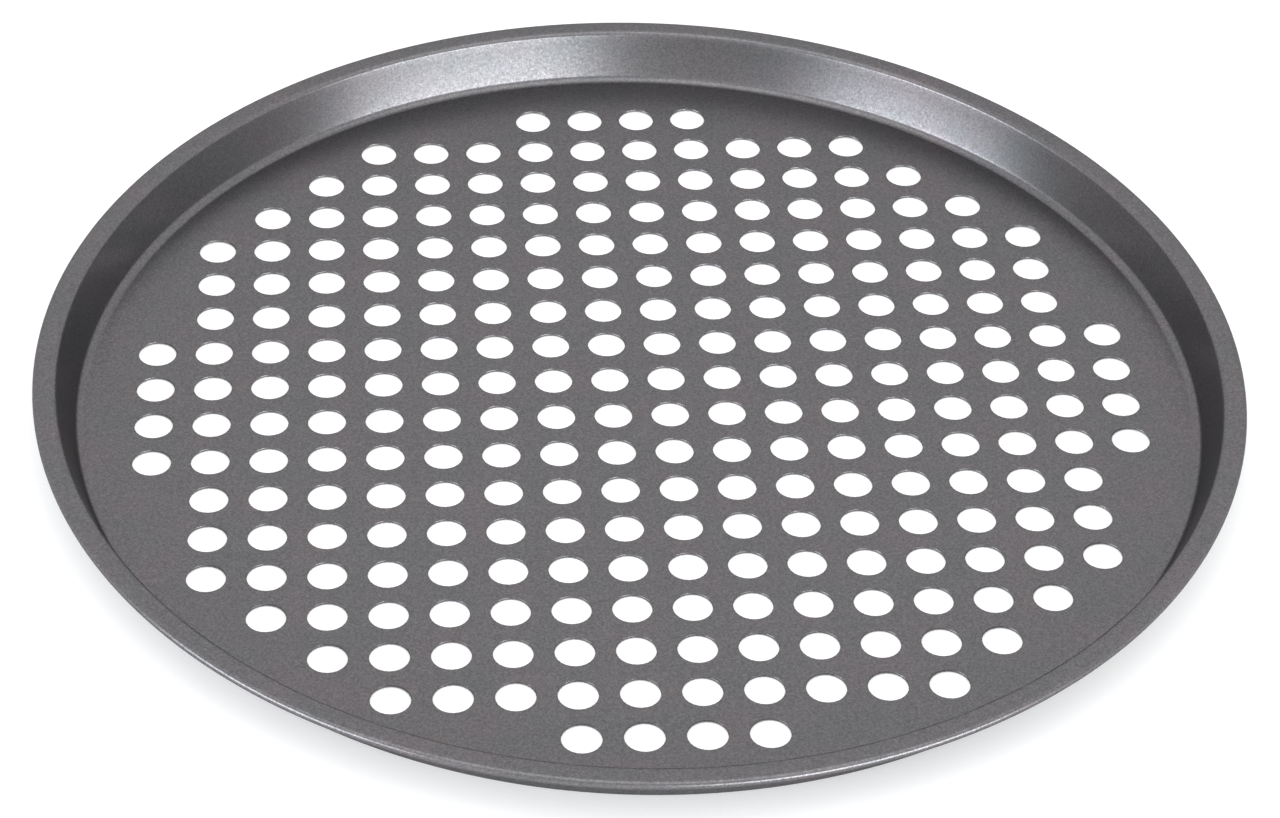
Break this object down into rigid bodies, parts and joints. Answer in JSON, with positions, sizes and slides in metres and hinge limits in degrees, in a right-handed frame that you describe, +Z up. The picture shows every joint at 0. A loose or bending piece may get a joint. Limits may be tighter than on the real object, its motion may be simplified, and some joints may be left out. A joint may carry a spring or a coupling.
{
  "type": "perforated pizza pan",
  "caption": "Round shallow baking pan of dark coated sheet steel, with a vented flat floor, leaning wall and flat flange with a rolled edge.",
  "frame": {"origin": "centre of the underside, on the plane that the pan rests on", "axes": "+Z up, out of the pan's open side; X and Y run along the rows of vent holes"},
  "size_m": [0.316, 0.316, 0.0151],
  "materials": {
    "coated_steel": "satin dark grey non-stick coat with a fine metallic speckle"
  },
  "bodies": {
    "root": {"pan": "coated_steel"}
  },
  "joints": []
}
